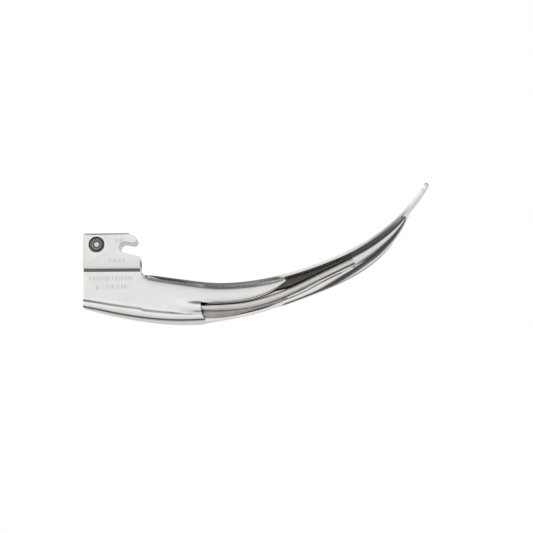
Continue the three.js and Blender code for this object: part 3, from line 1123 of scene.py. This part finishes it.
@dataclass
class BaseBlock:
    """The hook-on block, its cap, inlay and screws, and the sprung balls on both sides."""

    edge: float = 0.42
    groove_top: float = -9.62
    groove_half: float = 4.1
    foot_top: float = -9.6
    foot_corner: Point = (5.8, 6.2)
    foot_draw: float = 0.3
    # painted shade: darker steel for the lip down in the bush's recess
    lip: SteelFinish = SteelFinish(
        "lip_painted_shade_steel", (0.26, 0.25, 0.24), (0.38, 0.37, 0.36), 0.15, 0.25, (900, 900, 900), 0.000002
    )
    bush_sides: int = 64
    bush_rings: tuple[float, float, float] = (1.9, 2.38, 3.56)
    spring_share: float = 0.9

    def build(self) -> None:
        """Models and dresses the block and what it carries."""
        self._block()
        for node, name, slot, edge in (
            ("heel_cap", "heel_plate", Slot.SATIN, 0.12),
            ("colour_code_inlay", "colour_bar", Slot.GREEN, 0.08),
            ("tang_screw_rear", "screw_rear", Slot.DARK, 0.1),
            ("tang_screw_front", "screw_front", Slot.DARK, 0.1),
        ):
            self._finish(copy_of(node, name), node, slot, edge)
        for side, sign in (("right", -1), ("left", 1)):
            self._bush(side, sign)
            self._ball(side)
        self._spring()

    def _spring(self) -> None:
        """The coil spring, held a little shorter so that the pressed balls clear it."""
        low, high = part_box("detent_spring")
        spring = copy_of("detent_spring", "coil_spring")
        Bench.edit(spring)
        Bench.all_of_it()
        bpy.ops.transform.resize(value=(1.0, self.spring_share, 1.0), center_override=(low + high) / 2)
        Bench.finish_edit()
        Bench.smooth(spring, 60)
        Bench.dress(spring, Slot.BALL, stands_for=["detent_spring"])

    def _block(self) -> None:
        """The block, with a wider chamfer at its foot and the faces in the groove over the blade painted
        dark: painted shade of the narrow groove, with the grime of the joint.
        """
        block = copy_of("base_block", "hook_block")
        Bench.edit(block)
        inner, outer = self.foot_corner
        for sign in (-1, 1):
            mesh = bmesh.from_edit_mesh(block.data)
            low = [v for v in mesh.verts if v.co.z < self.foot_top * MM]
            foot = [v.index for v in low if inner < sign * v.co.y / MM < outer]
            nudge(block, foot, (0, -self.foot_draw * sign, 0))
        Bench.finish_edit()
        self._finish(block, "base_block", Slot.SATIN, self.edge)
        # painted shade: faces in the groove under the block get dark steel, for the shade in that narrow slot
        # and the grime of the joint
        block.data.materials.append(material(Slot.DARK))
        for side in block.data.polygons:
            middle = side.center / MM
            side.material_index = int(middle.z < self.groove_top and abs(middle.y) < self.groove_half)

    @staticmethod
    def _finish(piece: Piece, node: str, slot: Slot, edge: float) -> None:
        """Breaks the edges of a CAD node's copy and dresses it in the node's place."""
        round_edges(piece, edge, angle=38, smooth=35)
        Bench.dress(piece, slot, stands_for=[node])

    def _bush(self, side: str, sign: int) -> None:
        """A turned bush: outer land, recess, raised lip and the bore that the ball looks out of; recess and
        lip are painted dark as shade.
        """
        node = f"detent_bush_{side}"
        low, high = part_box(node)
        face = low.y if sign < 0 else high.y
        centre = Vector(((low.x + high.x) / 2, face, (low.z + high.z) / 2))
        outer = (high.x - low.x) / 2 / MM
        profile = [
            (1.78, 0.36), (1.85, 0.14), (2.1, 0.03), (2.3, 0.12), (2.4, 0.5), (2.5, 1.0), (2.65, 1.12),
            (3.2, 1.05), (3.35, 0.9), (3.5, 0.12), (3.62, 0.0), (outer + 0.2, 0.0), (outer + 0.28, 0.08),
            (outer + 0.28, 0.4), (outer, 0.45), (outer, 2.85), (2.12, 2.85), (2.1, 1.05),
        ]
        bush = Bench.point(f"ball_bush_{side}", centre)
        inward = -sign
        bpy.ops.transform.translate(value=Vector((profile[0][0], inward * profile[0][1], 0)) * MM)
        for (r0, d0), (r1, d1) in zip(profile, [*profile[1:], profile[0]]):
            step = Vector((r1 - r0, inward * (d1 - d0), 0)) * MM
            bpy.ops.mesh.extrude_region_move(TRANSFORM_OT_translate={"value": step})
        Bench.all_of_it()
        bpy.ops.mesh.spin(steps=self.bush_sides, angle=math.tau, center=centre, axis=(0, 1, 0))
        Bench.all_of_it()
        bpy.ops.mesh.remove_doubles(threshold=0.000004)
        bpy.ops.mesh.normals_make_consistent(inside=False)
        Bench.finish_edit()
        Bench.smooth(bush, 32)
        Bench.dress(bush, Slot.SATIN, stands_for=[node])
        # painted shade: the recess gets dark steel and the lip the darker lip steel, for the shade inside the
        # bush
        bush.data.materials.append(material(Slot.DARK))
        bush.data.materials.append(self.lip.make())
        lip_inner, lip_outer, land = self.bush_rings
        for side_ in bush.data.polygons:
            reach = math.hypot(side_.center.x - centre.x, side_.center.z - centre.z) / MM
            side_.material_index = 0 if reach > land else 2 if lip_inner < reach < lip_outer else 1

    @staticmethod
    def _ball(side: str) -> None:
        """The ball, smooth enough for its highlight."""
        node = f"detent_ball_{side}"
        low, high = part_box(node)
        Bench.clear()
        bpy.ops.mesh.primitive_uv_sphere_add(
            segments=48, ring_count=32, radius=(high.y - low.y) / 2, location=(low + high) / 2,
            rotation=(math.pi / 2, 0, 0),
        )
        ball = Bench.added(f"click_ball_{side}")
        Bench.smooth(ball, 60)
        Bench.dress(ball, Slot.BALL, body=f"{side}_ball", stands_for=[node])


@dataclass
class EtchedMarks:
    """Generic etching: the size numeral, and four rows of plain strokes that stand for marks."""

    face: float = -5.6
    block_face: float = -6.4
    proud: float = 0.012

    def build(self) -> None:
        """Models the numeral and the strokes, and dresses them as a darker etch."""
        etch = SteelFinish(
            "etched_steel", (0.5, 0.495, 0.485), (0.66, 0.655, 0.645), 0.35, 0.5, (1200, 1200, 1200), 0.000006
        ).make()
        for piece in (self._numeral(), self._strokes()):
            Bench.dress(piece, Slot.SATIN)
            piece.data.materials.clear()
            piece.data.materials.append(etch)

    def _numeral(self) -> Piece:
        """The size numeral, read with the blade's handle side down."""
        Bench.clear()
        bpy.ops.object.text_add(
            location=Vector((-11.6, self.face, -17.2)) * MM, rotation=(math.pi / 2, math.pi, 0)
        )
        text = bpy.context.object
        text.name = "size_numeral"
        text.data.body = "4"
        text.data.size = 3.0 * MM
        text.data.extrude = self.proud * MM
        bpy.ops.object.convert(target="MESH")
        numeral = bpy.context.object
        bpy.ops.object.transform_apply(location=True, rotation=True, scale=True)
        return numeral

    def _strokes(self) -> Piece:
        """Rows of short strokes of uneven width on the heel and on the block."""
        widths = (
            0.5, 0.25, 0.8, 0.35, 0.5, 0.25, 0.6, 0.9, 0.3, 0.45, 0.25, 0.7, 0.4, 0.6, 0.3, 0.5, 0.8, 0.35,
        )
        bars = []
        rows = (
            (self.face, -13.9, -16.2, 18, 1.9), (self.face, -17.7, -8.0, 9, 1.9),
            (self.block_face, -6.0, -7.0, 7, 1.9), (self.block_face, 3.2, -4.0, 4, 1.7),
        )
        for face, z, first, count, tall in rows:
            x = first
            for width in widths[:count]:
                Bench.clear()
                bpy.ops.mesh.primitive_cube_add(
                    size=1.0, location=Vector((x + width / 2, face, z)) * MM,
                    scale=Vector((width, 2 * self.proud, tall)) * MM,
                )
                bars.append(bpy.context.object)
                x += width + 0.65
        for bar in bars:
            bar.select_set(True)
        bpy.context.view_layer.objects.active = bars[0]
        bpy.ops.object.join()
        strokes = Bench.added("lot_strokes")
        return strokes


# ---------------------------------------------------------------- the studio


@dataclass
class Studio:
    """Pale floor, soft surroundings and the camera."""

    azimuth: float = 3.5
    elevation: float = -7.5
    distance: float = 3.0
    width_at_blade: float = 0.23985
    centre_right: float = 0.063855
    centre_up: float = -0.008685
    near_face: float = -0.0064
    floor: float = -0.62
    sensor: float = 36.0

    def build(self) -> None:
        """Makes the camera, the floor and the surroundings, which give all the light."""
        self._camera()
        self._floor()
        self._surroundings()
        bpy.context.scene.view_settings.view_transform = "Standard"

    def _camera(self) -> None:
        """Looks slightly upwards at the blade's right side, from just in front of it."""
        a, e = math.radians(self.azimuth), math.radians(self.elevation)
        look = Vector((-math.sin(a) * math.cos(e), math.cos(a) * math.cos(e), -math.sin(e)))
        right = Vector((math.cos(a), math.sin(a), 0.0))
        up = right.cross(look)
        target = Vector((0, self.near_face, 0)) + right * self.centre_right + up * self.centre_up
        data = bpy.data.cameras.new("camera")
        data.sensor_width = self.sensor
        data.lens = self.sensor * self.distance / self.width_at_blade
        data.clip_end = 50.0
        camera = bpy.data.objects.new("camera", data)
        bpy.context.scene.collection.objects.link(camera)
        turn = Matrix((right, up, -look)).transposed().to_4x4()
        camera.matrix_world = Matrix.Translation(target - look * self.distance) @ turn
        bpy.context.scene.camera = camera

    def _floor(self) -> None:
        """A plain pale floor far below, which reflections don't see."""
        Bench.clear()
        bpy.ops.mesh.primitive_plane_add(size=30.0, location=(0, 0, self.floor))
        floor = bpy.context.object
        floor.name = "floor"
        floor.visible_glossy = False
        sheet = NodeSheet("pale_floor")
        tone = sheet.spread(sheet.grain((3.0, 3.0, 3.0)), 0.0, 1.0)
        sheet.link(
            sheet.tint(tone, (0.86, 0.86, 0.86), (0.88, 0.88, 0.88)), sheet.shader.inputs["Base Color"]
        )
        sheet.shader.inputs["Roughness"].default_value = 0.9
        floor.data.materials.append(sheet.material)

    @staticmethod
    def _surroundings() -> None:
        """White all round to the eye; to the metal, bright in front, dark at the sides and grey behind."""
        world = bpy.data.worlds.new("studio")
        bpy.context.scene.world = world
        world.use_nodes = True
        tree = world.node_tree
        tree.nodes.clear()
        add, link = tree.nodes.new, tree.links.new
        place = add("ShaderNodeTexCoord")
        split = add("ShaderNodeSeparateXYZ")
        link(place.outputs["Generated"], split.inputs["Vector"])
        depth = add("ShaderNodeMapRange")
        depth.inputs["From Min"].default_value = -1.0
        link(split.outputs["Y"], depth.inputs["Value"])
        ramp = add("ShaderNodeValToRGB")
        stops = (
            (0.0, 1.0), (0.2, 1.0), (0.31, 0.45), (0.43, 0.1), (0.64, 0.09), (0.78, 0.3), (0.9, 0.47),
            (1.0, 0.74),
        )
        while len(ramp.color_ramp.elements) < len(stops):
            ramp.color_ramp.elements.new(0.5)
        for element, (place_, value) in zip(ramp.color_ramp.elements, stops):
            element.position = place_
            element.color = (value, value, value, 1.0)
        link(depth.outputs["Result"], ramp.inputs["Fac"])
        height = add("ShaderNodeMapRange")
        height.inputs["From Min"].default_value = -1.0
        height.inputs["To Min"].default_value = 0.8
        height.inputs["To Max"].default_value = 1.1
        link(split.outputs["Z"], height.inputs["Value"])
        scale = add("ShaderNodeVectorMath")
        scale.operation = "SCALE"
        link(ramp.outputs["Color"], scale.inputs[0])
        link(height.outputs["Result"], scale.inputs["Scale"])
        studio = add("ShaderNodeBackground")
        link(scale.outputs["Vector"], studio.inputs["Color"])
        white = add("ShaderNodeBackground")
        white.inputs["Color"].default_value = (1.0, 1.0, 1.0, 1.0)
        path = add("ShaderNodeLightPath")
        mix = add("ShaderNodeMixShader")
        link(path.outputs["Is Camera Ray"], mix.inputs["Fac"])
        link(studio.outputs["Background"], mix.inputs[1])
        link(white.outputs["Background"], mix.inputs[2])
        out = add("ShaderNodeOutputWorld")
        link(mix.outputs["Shader"], out.inputs["Surface"])


def main() -> None:
    """Builds every sub-assembly in order."""
    logging.basicConfig(level=logging.INFO, format="%(name)s: %(message)s")
    for part in (
        Studio(), Spatula(), Web(), Flange(), HeelShell(), Cheek(), LightGuide(), BaseBlock(), EtchedMarks(),
    ):
        LOG.info("building %s", type(part).__name__)
        part.build()
    Bench.clear()


if __name__ == "__main__":
    main()
